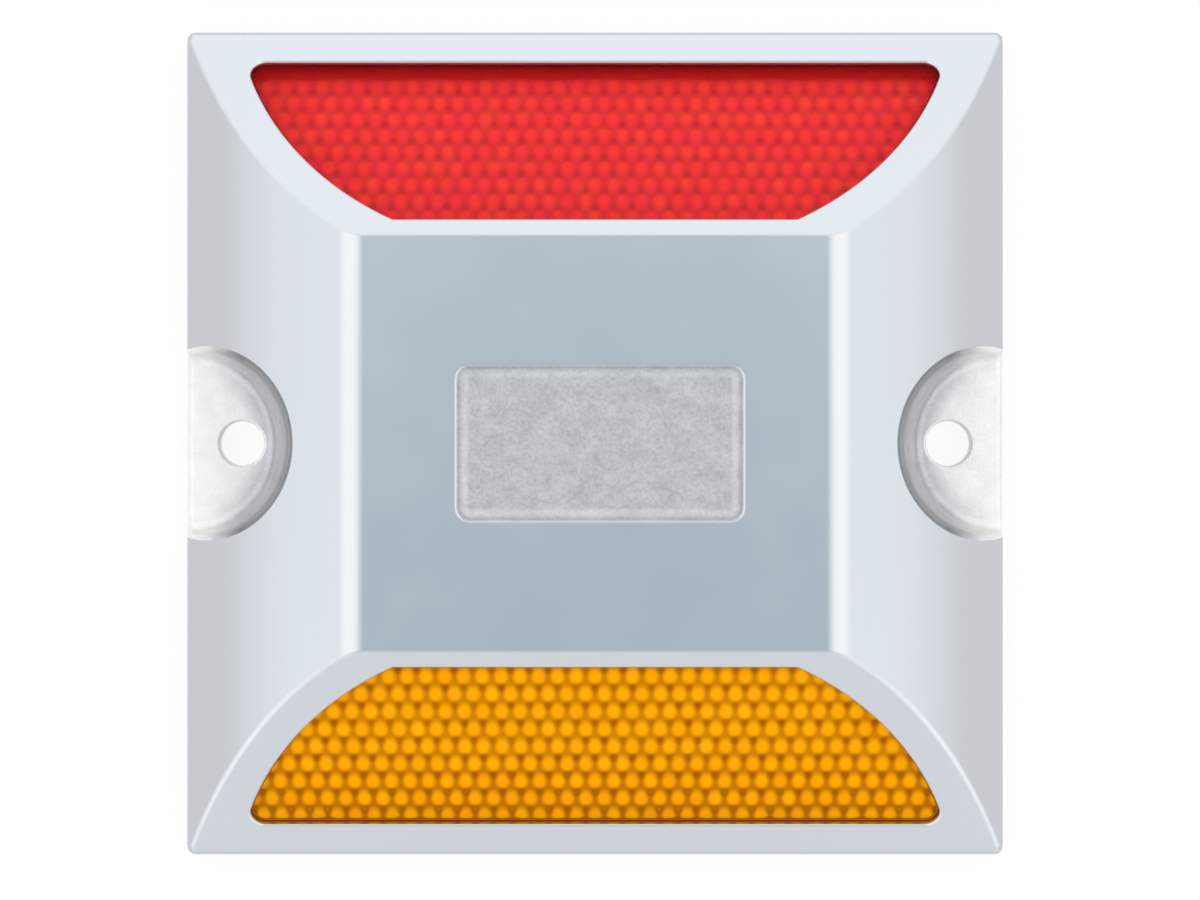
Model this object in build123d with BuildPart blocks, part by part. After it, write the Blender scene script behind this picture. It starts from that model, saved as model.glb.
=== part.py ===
from build123d import *
import math
import os

# Raised pavement marker: one aluminium casting that carries a red and an amber reflector.
# Millimetres. +Z is up from the road and the origin lies under the middle of the base.
# The red reflector faces +Y, the amber one faces -Y, and a nail goes in at each X side.

# Outer form of the casting
body_width = 99.6
body_length = 100.4
body_height = 20.0
rim_height = 4.2
plateau_width = 58.0
plateau_length = 49.6
side_bulge = 2.2
shoulder_radius = 6.5
edge_radius = 1.0

# Opening for a reflector, on the sloping face
opening_top_border = 2.3
opening_bottom_border = 4.5
opening_top_margin = 8.2
opening_bottom_margin = 5.7
opening_bulge = 3.0
opening_corner_radius = 1.8

# Reflector, from its front face inwards
lens_setback = 0.6
lens_web = 1.0
pin_width = 2.24
pin_tip_clearance = 0.2
skirt_width = 1.0
back_plate_thickness = 0.8
adhesive_thickness = 0.3
lens_fit_clearance = 0.15
acrylic_refractive_index = 1.49

# Nail pockets and nail holes
nail_edge_distance = 6.6
nail_hole_diameter = 5.5
pocket_radius = 10.6
pocket_floor_height = 3.4
pocket_draft = 12.0
pocket_floor_radius = 1.1

# Bare recess in the middle of the plateau
badge_width = 34.0
badge_length = 18.4
badge_offset = 0.6
badge_depth = 0.6
badge_draft = 30.0
badge_corner_radius = 1.6

# Ribbed underside
skin_thickness = 2.6
rim_wall = 3.2
rib_width = 2.2
rib_draft = 1.5
widest_cell = 9.0
shallowest_cell = 1.5

# Slope of the reflector faces
face_run = (body_length - plateau_length) / 2
face_drop = body_height - rim_height
face_slope = math.hypot(face_run, face_drop)
face_sin = face_drop / face_slope
face_cos = face_run / face_slope

# Circle that each rounded side follows, in the XZ plane
flank_run = (body_width - plateau_width) / 2
flank_chord = math.hypot(flank_run, face_drop)
flank_radius = flank_chord**2 / (8 * side_bulge) + side_bulge / 2
flank_centre_inset = (flank_radius - side_bulge) / flank_chord
flank_centre_x = (body_width + plateau_width) / 4 - flank_centre_inset * face_drop
flank_centre_z = (body_height + rim_height) / 2 - flank_centre_inset * flank_run

# Distance between the two nail holes
nail_spacing = body_width - 2 * nail_edge_distance

# Radius that a drafted pocket wall would reach at the height of the plateau
pocket_depth = body_height - pocket_floor_height
pocket_top_radius = pocket_radius + pocket_depth * math.tan(math.radians(pocket_draft))

# Cube corners: each pin ends in three squares that meet at right angles.
# The pins lean along a level headlamp beam as it runs on inside the acrylic.
pin_tilt = math.asin(face_cos / acrylic_refractive_index)
pin_radius = pin_width / math.sqrt(3)
cube_edge = pin_width / math.sqrt(2)
near_rise = cube_edge / math.sqrt(3)
far_rise = 2 * near_rise
pin_row_pitch = 1.5 * pin_radius / math.cos(pin_tilt)
pin_depth = far_rise * math.cos(pin_tilt) + pin_radius / 2 * math.sin(pin_tilt)

# Depths of the reflector's layers below the sloping face
tip_depth = lens_setback + lens_web + pin_depth
plate_depth = tip_depth + pin_tip_clearance
adhesive_depth = plate_depth + back_plate_thickness
recess_depth = adhesive_depth + adhesive_thickness


def reflector_plane(side):
    """Plane of a sloping face: x runs across, y down the slope and z out of the metal."""
    return Plane(
        origin=(0, side * plateau_length / 2, body_height),
        x_dir=(side, 0, 0),
        z_dir=(0, side * face_sin, face_cos),
    )


def face_half_width(distance):
    """Half width of a sloping face, at a distance down its slope."""
    height = body_height - distance * face_sin
    return flank_centre_x + math.sqrt(flank_radius**2 - (height - flank_centre_z) ** 2)


def reflector_outline(inset):
    """Outline of a reflector opening, drawn in all around by the inset."""
    top = opening_top_border
    bottom = face_slope - opening_bottom_border
    top_half = face_half_width(top) - opening_top_margin
    bottom_half = face_half_width(bottom) - opening_bottom_margin
    with BuildSketch() as outline:
        with BuildLine():
            upper = Line((-top_half, top), (top_half, top))
            right = SagittaArc(upper @ 1, (bottom_half, bottom), -opening_bulge)
            lower = Line(right @ 1, (-bottom_half, bottom))
            SagittaArc(lower @ 1, upper @ 0, -opening_bulge)
        make_face()
        fillet(outline.vertices().group_by(Axis.Y)[-1], opening_corner_radius)
        if inset > 0:
            offset(amount=-inset, kind=Kind.INTERSECTION)
    return outline.sketch


def cube_corner_sheet(outline):
    """Back surface of the pins that cover an outline, in the axes of the sloping face."""
    beam = Vector(0, -math.sin(pin_tilt), -math.cos(pin_tilt))
    uphill = Vector(0, math.cos(pin_tilt), -math.sin(pin_tilt))
    row_step = beam * (pin_row_pitch * math.sin(pin_tilt))
    box = outline.bounding_box()
    rows = math.ceil(box.size.Y / pin_row_pitch) + 2
    half_row = math.ceil(box.max.X / pin_width) + 1
    faces = []
    for row in range(rows):
        stagger = 0.5 * (row % 2)
        for column in range(-half_row, half_row + 1):
            tip = Vector(
                (column + stagger) * pin_width,
                box.min.Y + (row - 0.5) * pin_row_pitch,
                -tip_depth,
            )
            corners = []
            for corner in range(6):
                turn = math.radians(30 + 60 * corner)
                rise = far_rise if corner % 2 else near_rise
                sideways = Vector(pin_radius * math.cos(turn), 0, 0)
                corners.append(tip + sideways + uphill * (pin_radius * math.sin(turn)) - beam * rise)
            for corner in (0, 2, 4):
                square = [tip, corners[corner], corners[corner + 1], corners[(corner + 2) % 6]]
                faces.append(Face(Wire.make_polygon(square)))
            for corner in (0, 1):
                start = corners[corner]
                end = corners[corner + 1]
                wall = [start, end, end - row_step, start - row_step]
                faces.append(Face(Wire.make_polygon(wall)))
    return Shell(faces)


def roof_height(x, y):
    """Highest point of a hollow under the casting, so that the skin above it stays whole."""
    under_plateau = body_height - badge_depth - skin_thickness
    drop = (abs(y) - plateau_length / 2) * face_sin
    under_reflector = body_height - (recess_depth + skin_thickness + drop) / face_cos
    reach = flank_radius - skin_thickness
    under_flank = flank_centre_z + math.sqrt(max(0, reach**2 - (abs(x) - flank_centre_x) ** 2))
    return min(under_plateau, under_reflector, under_flank)


def pocket_gap(x, y):
    """Distance in plan from a point to the widest part of the nearer nail pocket."""
    return math.hypot(body_width / 2 - abs(x), y) - pocket_top_radius


# Hollows between the ribs, in groups of the same depth
with BuildPart() as hollows:
    span_x = body_width - 2 * rim_wall + rib_width
    span_y = body_length - 2 * rim_wall + rib_width
    cells_across = math.ceil(span_x / (widest_cell + rib_width))
    cells_along = math.ceil(span_y / (widest_cell + rib_width))
    cell_x = span_x / cells_across - rib_width
    cell_y = span_y / cells_along - rib_width
    groups = {}
    for place in GridLocations(cell_x + rib_width, cell_y + rib_width, cells_across, cells_along):
        centre = place.position
        outer_x = abs(centre.X) + cell_x / 2
        outer_y = abs(centre.Y) + cell_y / 2
        inner_y = max(0, abs(centre.Y) - cell_y / 2)
        depth = round(roof_height(outer_x, outer_y), 3)
        if depth > shallowest_cell and pocket_gap(outer_x, inner_y) > skin_thickness:
            groups.setdefault(depth, []).append(centre)
    for depth, centres in groups.items():
        with BuildSketch(Plane.XY):
            with Locations(*centres):
                Rectangle(cell_x, cell_y)
        extrude(amount=depth, taper=rib_draft)

# Space that a nail pocket takes out of the casting, about its own axis
with BuildPart() as nail_pocket:
    with BuildSketch(Plane.XZ) as pocket_section:
        with BuildLine():
            Polyline(
                (0, body_height),
                (0, pocket_floor_height),
                (pocket_radius, pocket_floor_height),
                (pocket_top_radius, body_height),
                close=True,
            )
        make_face()
        floor_corner = pocket_section.vertices().group_by(Axis.Y)[0].sort_by(Axis.X)[-1]
        fillet(floor_corner, pocket_floor_radius)
    revolve(axis=Axis.Z)

# Casting
with BuildPart() as cast_body:
    with BuildSketch(Plane.XZ) as section:
        with BuildLine():
            base = Line((-body_width / 2, 0), (body_width / 2, 0))
            right_rim = Line(base @ 1, (body_width / 2, rim_height))
            right_flank = SagittaArc(right_rim @ 1, (plateau_width / 2, body_height), -side_bulge)
            plateau = Line(right_flank @ 1, (-plateau_width / 2, body_height))
            left_flank = SagittaArc(plateau @ 1, (-body_width / 2, rim_height), -side_bulge)
            Line(left_flank @ 1, base @ 0)
        make_face()
        fillet(section.vertices().group_by(Axis.Y)[-1], shoulder_radius)
    extrude(amount=body_length / 2, both=True)
    for side in (1, -1):
        split(bisect_by=reflector_plane(side), keep=Keep.BOTTOM)
    slopes = cast_body.faces().filter_by(reflector_plane(1))
    slopes += cast_body.faces().filter_by(reflector_plane(-1))
    uprights = cast_body.edges().filter_by(Axis.Z)
    side_rims = cast_body.edges().filter_by(Axis.Y).group_by(Axis.Z)[1]
    fillet(slopes.edges() + uprights + side_rims, edge_radius)
    for side in (1, -1):
        with BuildSketch(reflector_plane(side)):
            add(reflector_outline(0))
        extrude(amount=-recess_depth, mode=Mode.SUBTRACT)
    with Locations((body_width / 2, 0), (-body_width / 2, 0)):
        add(nail_pocket.part, mode=Mode.SUBTRACT)
    with GridLocations(nail_spacing, nail_spacing, 2, 1):
        Hole(nail_hole_diameter / 2)
    with BuildSketch(Plane.XY.offset(body_height)):
        with Locations((badge_offset, 0)):
            RectangleRounded(badge_width, badge_length, badge_corner_radius)
    extrude(amount=-badge_depth, taper=badge_draft, mode=Mode.SUBTRACT)
    add(hollows.part, mode=Mode.SUBTRACT)
cast_body.part.label = "cast_body"

# Air space behind the pins of the red lens
with BuildPart() as pin_space:
    with BuildSketch(reflector_plane(1).offset(-lens_setback - lens_web / 2)):
        add(reflector_outline(lens_fit_clearance + skirt_width))
    extrude(amount=-plate_depth)
    pin_sheet = reflector_plane(1).location * cube_corner_sheet(reflector_outline(lens_fit_clearance))
    split(bisect_by=pin_sheet, keep=Keep.ALL)

# Red lens
with BuildPart() as red_lens:
    with BuildSketch(reflector_plane(1).offset(-lens_setback)):
        add(reflector_outline(lens_fit_clearance))
    extrude(amount=lens_setback - plate_depth)
    add(pin_space.solids().sort_by(Axis.Z)[0], mode=Mode.SUBTRACT)
red_lens.part.label = "red_lens"

# Amber lens, the same moulding turned around
with BuildPart() as amber_lens:
    add(red_lens.part, rotation=(0, 0, 180))
amber_lens.part.label = "amber_lens"

# Back plates, welded to the skirts of the lenses
with BuildPart() as red_back_plate:
    with BuildSketch(reflector_plane(1).offset(-plate_depth)):
        add(reflector_outline(lens_fit_clearance))
    extrude(amount=-back_plate_thickness)
red_back_plate.part.label = "red_back_plate"

with BuildPart() as amber_back_plate:
    add(red_back_plate.part, rotation=(0, 0, 180))
amber_back_plate.part.label = "amber_back_plate"

# Beds of glue on the floors of the recesses
with BuildPart() as red_adhesive_bed:
    with BuildSketch(reflector_plane(1).offset(-adhesive_depth)):
        add(reflector_outline(lens_fit_clearance))
    extrude(amount=-adhesive_thickness)
red_adhesive_bed.part.label = "red_adhesive_bed"

with BuildPart() as amber_adhesive_bed:
    add(red_adhesive_bed.part, rotation=(0, 0, 180))
amber_adhesive_bed.part.label = "amber_adhesive_bed"

os.makedirs("parts", exist_ok=True)
export_step(cast_body.part, "parts/cast_body.step")
export_step(red_lens.part, "parts/red_lens.step")
export_step(amber_lens.part, "parts/amber_lens.step")
export_step(red_back_plate.part, "parts/red_back_plate.step")
export_step(amber_back_plate.part, "parts/amber_back_plate.step")
export_step(red_adhesive_bed.part, "parts/red_adhesive_bed.step")
export_step(amber_adhesive_bed.part, "parts/amber_adhesive_bed.step")
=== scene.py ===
# %% [markdown]
# # A road stud in red and amber
# A road stud is a low aluminium casting that is nailed or glued to the road. Two acrylic reflectors
# sit in its sloping faces and send the light of headlamps back to the driver.
# The packed CAD model comes first, as a fixed frame: it gives the size and place of every piece, so
# each mesh below is worked out in that frame and nothing has to be fitted by eye afterwards.

import bpy
import numpy as np
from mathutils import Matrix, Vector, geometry


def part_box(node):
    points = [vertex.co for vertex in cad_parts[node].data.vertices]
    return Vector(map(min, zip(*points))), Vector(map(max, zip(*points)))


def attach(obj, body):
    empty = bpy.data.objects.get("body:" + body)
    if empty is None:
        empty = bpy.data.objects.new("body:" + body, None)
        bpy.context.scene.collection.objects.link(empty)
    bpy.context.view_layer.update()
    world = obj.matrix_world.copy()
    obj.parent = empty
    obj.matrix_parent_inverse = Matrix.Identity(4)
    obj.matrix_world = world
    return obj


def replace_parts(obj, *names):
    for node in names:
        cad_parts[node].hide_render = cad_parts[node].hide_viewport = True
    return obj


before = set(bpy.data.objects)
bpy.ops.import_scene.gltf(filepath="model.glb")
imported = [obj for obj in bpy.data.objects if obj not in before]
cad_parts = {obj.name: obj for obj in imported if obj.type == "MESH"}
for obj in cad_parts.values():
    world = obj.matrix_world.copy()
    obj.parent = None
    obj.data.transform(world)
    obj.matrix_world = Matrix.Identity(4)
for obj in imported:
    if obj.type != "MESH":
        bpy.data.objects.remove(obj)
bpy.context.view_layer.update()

# %% [markdown]
# ## Sizes of the casting
# The CAD casting is right in its form, but its edges at the reflectors, nail pockets and centre
# recess are sharp, and a die casting has none: the metal shrinks away from every corner of the die.
# A Bevel modifier on the CAD mesh leaves slivers on its long triangles. So the skin of the casting
# is drawn again here, from the same sizes, with every edge rounded. All sizes are in millimetres.

# %% Outer sizes
MM = 0.001
low, high = (np.array(corner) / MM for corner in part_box("cast_body"))
width, length, height = np.round(high - low, 3)
half_width = width / 2
half_length = length / 2
rim_height = 4.2
plateau_half_width = 29.0
plateau_half_length = 24.8
side_bulge = 2.2
shoulder_radius = 9.0
edge_radius = 1.0

face_drop = height - rim_height
face_run = half_length - plateau_half_length
face_slope = np.hypot(face_run, face_drop)
face_sin = face_drop / face_slope
face_cos = face_run / face_slope
print(f"stud {width} x {length} x {height} mm, faces sloped {np.degrees(np.arcsin(face_sin)):.1f} degrees")

# %% [markdown]
# ## The section across the road
# Cut across, the casting is a flat top, a soft shoulder, a long bulging flank and a small rounded rim.
# A spline could be drawn over the photo, but a toolmaker draws tangent arcs, and those have a gift for
# us: along a chain of tangent arcs the outward normal simply turns. So one angle picks the arc, the
# point on it and the normal there, and sinking the curve into the metal only shortens the radius.

# %% Tangent arcs
def bulged_circle(start, end, bulge):
    """Circle through two points, standing out to the left of their chord by the bulge.

    radius = chord² / (8 bulge) + bulge / 2, with the centre on the chord's middle line."""
    start, end = np.array(start), np.array(end)
    way = end - start
    chord = np.hypot(*way)
    left = np.array((-way[1], way[0])) / chord
    radius = chord**2 / (8 * bulge) + bulge / 2
    return (start + end) / 2 - (radius - bulge) * left, radius


def nested_centre(big_centre, big_radius, small_radius, known):
    """First coordinate of a small circle that touches a big one from inside; the second is known.

    The two centres lie big radius - small radius apart."""
    return big_centre[0] + np.sqrt((big_radius - small_radius)**2 - (known - big_centre[1])**2)


def arc_chain(centres, radii):
    """Curve of tangent arcs, as a function of the angle that its normal has turned from straight up.

    point = centre of the arc + (radius - inset) x normal, normal = (sin angle, cos angle)."""
    centres, radii = np.array(centres), np.array(radii)
    steps = np.diff(centres, axis=0) * np.sign(np.diff(radii))[:, None]
    ends = np.arctan2(*(-steps.T))

    def curve(angle, inset=0.0):
        arc = np.digitize(angle, ends)
        normal = np.stack([np.sin(angle), np.cos(angle)], axis=-1)
        return centres[arc] + (radii[arc] - inset)[..., None] * normal, normal

    return curve, ends


flank_centre, flank_radius = bulged_circle(
    (plateau_half_width, height), (half_width, rim_height), side_bulge
)
print(f"flank radius {flank_radius:.2f} mm")

# %% Section of the casting
shoulder_z = height - shoulder_radius
shoulder_x = nested_centre(flank_centre, flank_radius, shoulder_radius, shoulder_z)
rim_x = half_width - edge_radius
rim_z = nested_centre(flank_centre[::-1], flank_radius, edge_radius, rim_x)
section, section_ends = arc_chain(
    [(shoulder_x, shoulder_z), flank_centre, (rim_x, rim_z)],
    [shoulder_radius, flank_radius, edge_radius],
)
print("section changes its arc at", np.degrees(section_ends).round(2), "degrees")

# %% [markdown]
# ## Patches that close into one skin
# The casting is one piece of metal, so it has to be one closed mesh. Modelling it as one grid would
# waste most of its rows, so it is sewn from patches: a curved patch is a grid of points, and a flat
# face is filled between its outlines. Neighbours compute their shared border from the same formula,
# so merging equal points sews them. Every patch brings its exact normals, and these shade the mesh
# as truly round and truly flat, which averaged normals would not do on such uneven triangles.

# %% Loops and mirror images
SEAM = 1e-4
# Signs of X and Y for each mirror image of a patch.
ONCE = ((1, 1),)
QUARTERS = ((1, 1), (-1, 1), (1, -1), (-1, -1))
ENDS = ((1, 1), (1, -1))
SIDES = ((1, 1), (-1, 1))
SQUARE = np.array([(1, 1), (-1, 1), (-1, -1), (1, -1)])


def closed(loop):
    """A loop with its first point once more at its end."""
    return np.concatenate([loop, loop[:1]])


def mirrored_loop(chain, axis, *vectors):
    """Closed loop of a chain of points and its mirror image in an axis, walked back, with vectors on it.

    A point on the mirror line is its own image and comes in once."""
    mirror = np.ones(chain.shape[-1])
    mirror[axis] = -1
    off_line = np.abs(chain[:, axis]) > SEAM
    loops = [np.concatenate([part, (part * mirror)[off_line][::-1]]) for part in (chain, *vectors)]
    return loops if vectors else loops[0]


print("half a square and its mirror image:", mirrored_loop(SQUARE[:2], 1).tolist())

# %% Filling a flat face
def triangles_inside(flat, sizes):
    """Triangles of a flat drawing, inside its first loop and outside the others, as rows of corners.

    The points are the loops, one after another and of the given sizes, and then any points inside.
    Delaunay's rule picks the triangles: no point lies within the circle around another three."""
    starts = np.cumsum([0, *sizes])
    faces = []
    for start, end in zip(starts[:-1], starts[1:]):
        x, y = flat[start:end].T
        index = np.arange(start, end)
        anticlockwise = np.sum(x * np.roll(y, -1) - y * np.roll(x, -1)) > 0
        faces.append(index.tolist() if anticlockwise else index[::-1].tolist())
    inside_only, same_point = 1, 1e-6
    _, _, triangles, sources, _, owners = geometry.delaunay_2d_cdt(
        flat.tolist(), [], faces, inside_only, same_point, True
    )
    source = np.array([ids[0] for ids in sources])
    kept = [triangle for triangle, owner in zip(triangles, owners) if owner == [0]]
    return source[np.array(kept)]


square_ring = np.concatenate([2.0 * SQUARE, SQUARE])
print(len(triangles_inside(square_ring, [4, 4])), "triangles fill the ring between two squares")

# %% The skin
OUT, ENDWAYS, UP, DOWN = (1, 0, 0), (0, 1, 0), (0, 0, 1), (0, 0, -1)


class Skin:
    """Patches with exact normals and a mark on every corner, which are sewn into one mesh later."""

    def __init__(self):
        self.points, self.normals, self.marks, self.triangles = [], [], [], []
        self.total = 0

    def patch(self, points, normals, mark, triangles, signs=ONCE):
        """Adds a patch, mirrored in X and Y as the signs say, with its triangles facing its normals."""
        for sign in signs:
            mirror = np.array((*sign, 1))
            corners = (points * mirror)[triangles]
            facing = np.cross(corners[:, 1] - corners[:, 0], corners[:, 2] - corners[:, 0])
            along = np.sum(facing * (normals * mirror)[triangles].sum(axis=1))
            self.points.append(points * mirror)
            self.normals.append(normals * mirror)
            self.marks.append(np.broadcast_to(mark, len(points)))
            self.triangles.append((triangles if along > 0 else triangles[:, ::-1]) + self.total)
            self.total += len(points)

    def sheet(self, points, normals, mark=0.0, signs=ONCE):
        """Adds a grid of points, with two triangles to a cell."""
        index = np.arange(points[..., 0].size).reshape(points.shape[:2])
        first = np.stack([index[:-1, :-1], index[:-1, 1:], index[1:, 1:]], axis=-1)
        second = np.stack([index[:-1, :-1], index[1:, 1:], index[1:, :-1]], axis=-1)
        triangles = np.concatenate([first.reshape(-1, 3), second.reshape(-1, 3)])
        normals = np.broadcast_to(normals, points.shape).reshape(-1, 3)
        marks = np.broadcast_to(mark, points.shape[:2]).ravel()
        self.patch(points.reshape(-1, 3), normals, marks, triangles, signs)

    def fill(self, loops, normal, mark=0.0, signs=ONCE, inside=()):
        """Adds the flat face inside the first loop and outside the others, over any points inside."""
        normal = np.array(normal, float)
        across = ENDWAYS if abs(normal[0]) > 0.5 else OUT
        axes = np.stack([across, np.cross(normal, across)], axis=1)
        corners = np.concatenate([*loops, *inside])
        triangles = triangles_inside(corners @ axes, [len(loop) for loop in loops])
        self.patch(corners, np.broadcast_to(normal, corners.shape), mark, triangles, signs)

    def quads(self, corners, normals, mark=0.0):
        """Adds separate flat quads: four corners in order round each of them, and its normal."""
        first = 4 * np.arange(len(corners))[:, None]
        triangles = np.concatenate([first + (0, 1, 2), first + (0, 2, 3)])
        self.patch(corners.reshape(-1, 3), np.repeat(normals, 4, axis=0), mark, triangles)


casting = Skin()
print("the skin of the casting starts with", len(casting.points), "patches")

# %% Sewing the skin
def sewn(skin, name, mark_name=None):
    """Object of a skin whose patches are sewn: equal points become one, flat triangles go."""
    points, normals = np.concatenate(skin.points), np.concatenate(skin.normals)
    marks, triangles = np.concatenate(skin.marks), np.concatenate(skin.triangles)
    cells = np.round(points / SEAM).astype(np.int64)
    _, first, index = np.unique(cells, axis=0, return_index=True, return_inverse=True)
    corners = index.ravel()[triangles]
    whole = np.all(corners != np.roll(corners, 1, axis=1), axis=1)
    corners, triangles = corners[whole], triangles[whole]
    mesh = bpy.data.meshes.new(name)
    mesh.from_pydata(points[first] * MM, [], corners, shade_flat=False)
    mesh.normals_split_custom_set(normals[triangles].reshape(-1, 3))
    if mark_name:
        attribute = mesh.attributes.new(mark_name, "FLOAT", "CORNER")
        attribute.data.foreach_set("value", marks[triangles].ravel().astype(np.float32))
    made = bpy.data.objects.new(name, mesh)
    bpy.context.scene.collection.objects.link(made)
    starts, ends = corners.ravel(), np.roll(corners, -1, axis=1).ravel()
    open_edges = np.setxor1d(starts * len(first) + ends, ends * len(first) + starts)
    print(f"{name}: {len(corners)} triangles, {len(open_edges)} open edges")
    return made


print("seams merge within", SEAM, "mm")

# %% [markdown]
# ## Edges rolled by a ball
# Where two faces of a casting meet, the die has a rounded edge of one radius, as if a ball had rolled
# along inside the metal, touching both faces. Bevel does this for straight edges, but here the edges
# run over arcs. The ball gives a formula instead: its centre is where both faces, sunk in by the
# radius, cross, and from there the skin swings from one face's normal to the other's.

# %% Rolled edges
def rolled_edge(centres, first_normals, second_normals, radius, steps):
    """Grid of points and normals of a rounded edge, from the first face to the second.

    point = ball's centre + radius x normal, and the normal swings evenly between the two faces."""
    share = np.linspace(0, 1, steps + 1)[:, None, None]
    swing = np.arccos(np.sum(first_normals * second_normals, axis=-1, keepdims=True))
    normals = np.sin((1 - share) * swing) * first_normals + np.sin(share * swing) * second_normals
    normals = normals / np.sin(swing)
    return centres + radius * normals, normals


def repeated(vector, count):
    """One vector as a row for each of so many points."""
    return np.tile(np.array(vector, float), (count, 1))


sample_edge, _ = rolled_edge(np.zeros(3), repeated(UP, 1), repeated(OUT, 1), edge_radius, 2)
print("a rolled edge from top to side passes", sample_edge[1, 0].round(3), "from the ball's centre")

# %% [markdown]
# ## Nail pockets
# At each side a pocket lets a nail head sit below the surface. It is turned about an upright axis on
# the rim: a flat floor, a small round corner and a leaning wall, so that the casting leaves the die.
# A Boolean would cut it in one step and leave a hard, ragged edge on the flank. The rolled edge needs
# the path of the ball between flank and pocket, and the next cells work it out: both surfaces are
# sunk by the edge's radius and crossed at every angle of the section.

# %% Shape of a pocket
pocket_radius = 10.6
pocket_floor = 3.4
pocket_bend = 1.1
pocket_draft = np.radians(12)
pocket_edge = 0.8
bend_z = pocket_floor + pocket_bend
bend_r = pocket_radius + pocket_bend * (np.tan(pocket_draft) - 1 / np.cos(pocket_draft))


def pocket_wall(z, depth):
    """Radius of the pocket at a height and the turn of its corner there, sunk into the metal.

    The corner is an arc of radius bend + depth, and above its end the wall goes on as a cone."""
    bend = pocket_bend + depth
    turn = np.arccos(np.clip((bend_z - z) / bend, np.sin(pocket_draft), 1))
    rise = z - bend_z + bend * np.cos(turn)
    return bend_r + bend * np.sin(turn) + rise * np.tan(pocket_draft), turn


def pocket_reach(angle):
    """How far the sunk pocket reaches past the sunk flank, at an angle of the section."""
    (x, z), _ = section(np.array(angle), pocket_edge)
    return pocket_wall(z, pocket_edge)[0] - (half_width - x)


print(f"pocket radius {pocket_radius} mm at the floor and {pocket_wall(height, 0)[0]:.1f} mm at the top")

# %% Where the pocket starts on the flank
def steps_after(start, end, count):
    """Even steps from a start to an end, without the start itself."""
    return np.linspace(start, end, count + 1)[1:]


halvings = 60
lowest, highest = section_ends
for _ in range(halvings):
    middle = (lowest + highest) / 2
    lowest, highest = (middle, highest) if pocket_reach(middle) < 0 else (lowest, middle)
pocket_start = highest

shoulder_steps, upper_steps, lower_steps, rim_steps = 10, 14, 36, 7
angles_above = np.concatenate([
    np.linspace(0, section_ends[0], shoulder_steps + 1),
    steps_after(section_ends[0], pocket_start, upper_steps),
])
angles_beside = np.concatenate([
    pocket_start + (section_ends[1] - pocket_start) * np.linspace(0, 1, lower_steps + 1)**2,
    steps_after(section_ends[1], np.pi / 2, rim_steps),
])
print(f"pocket starts where the flank has turned {np.degrees(pocket_start):.2f} degrees")

# %% Path of the ball around a pocket
def in_space(flat, y):
    """Points of the XZ section, set at their places along Y."""
    return np.stack([flat[..., 0], np.broadcast_to(y, flat.shape[:-1]), flat[..., 1]], axis=-1)


bend_steps, sill_steps, pocket_edge_steps = 9, 8, 6
flank_part, flank_normal = section(angles_beside, pocket_edge)
flank_wall, flank_turn = pocket_wall(flank_part[:, 1], pocket_edge)
rim_turn = steps_after(flank_turn[-1], 0, bend_steps)
rim_wall_z = bend_z - (pocket_bend + pocket_edge) * np.cos(rim_turn)
rim_wall = bend_r + (pocket_bend + pocket_edge) * np.sin(rim_turn)
lip_turn = np.concatenate([flank_turn, rim_turn])
lip_radius = np.concatenate([flank_wall, rim_wall])
lip_inward = np.concatenate([half_width - flank_part[:, 0], np.full(bend_steps, pocket_edge)])
lip_y = np.sqrt(np.maximum(lip_radius**2 - lip_inward**2, 0))
lip_z = np.concatenate([flank_part[:, 1], rim_wall_z])
lip_centres = np.stack([half_width - lip_inward, lip_y, lip_z], axis=-1)
lip_outer = np.concatenate([in_space(flank_normal, 0), repeated(OUT, bend_steps)])
lip_away = np.stack([-lip_inward, lip_y], axis=-1) / lip_radius[:, None]
lip_inner = np.concatenate([-np.sin(lip_turn)[:, None] * lip_away, np.cos(lip_turn)[:, None]], axis=1)
sill = repeated((half_width - pocket_edge, 0, lip_z[-1]), sill_steps)
sill[:, 1] = steps_after(lip_y[-1], 0, sill_steps)
ball_path = np.concatenate([lip_centres, sill])
ball_outer = np.concatenate([lip_outer, repeated(OUT, sill_steps)])
ball_inner = np.concatenate([lip_inner, repeated(UP, sill_steps)])
lip, lip_normals = rolled_edge(ball_path, ball_outer, ball_inner, pocket_edge, pocket_edge_steps)
print(f"pocket edge {2 * lip[0, :, 1].max():.1f} mm wide at the rim")

# %% Wall and floor of a pocket
def pocket_place(radius, azimuth, z):
    """Points of the pocket, turned about its upright axis from the rim's line by the azimuth."""
    x = half_width - radius * np.sin(azimuth)
    return np.stack([x, radius * np.cos(azimuth), np.broadcast_to(z, radius.shape)], axis=-1)


def corner_patch(turn, azimuth):
    """Round corner of the pocket: corner centre + bend x (sin turn, -cos turn), turned by the azimuth."""
    radius = bend_r + pocket_bend * np.sin(turn)
    normals = [np.sin(turn) * np.sin(azimuth), -np.sin(turn) * np.cos(azimuth), np.cos(turn)]
    return pocket_place(radius, azimuth, bend_z - pocket_bend * np.cos(turn)), np.stack(normals, axis=-1)


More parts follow.
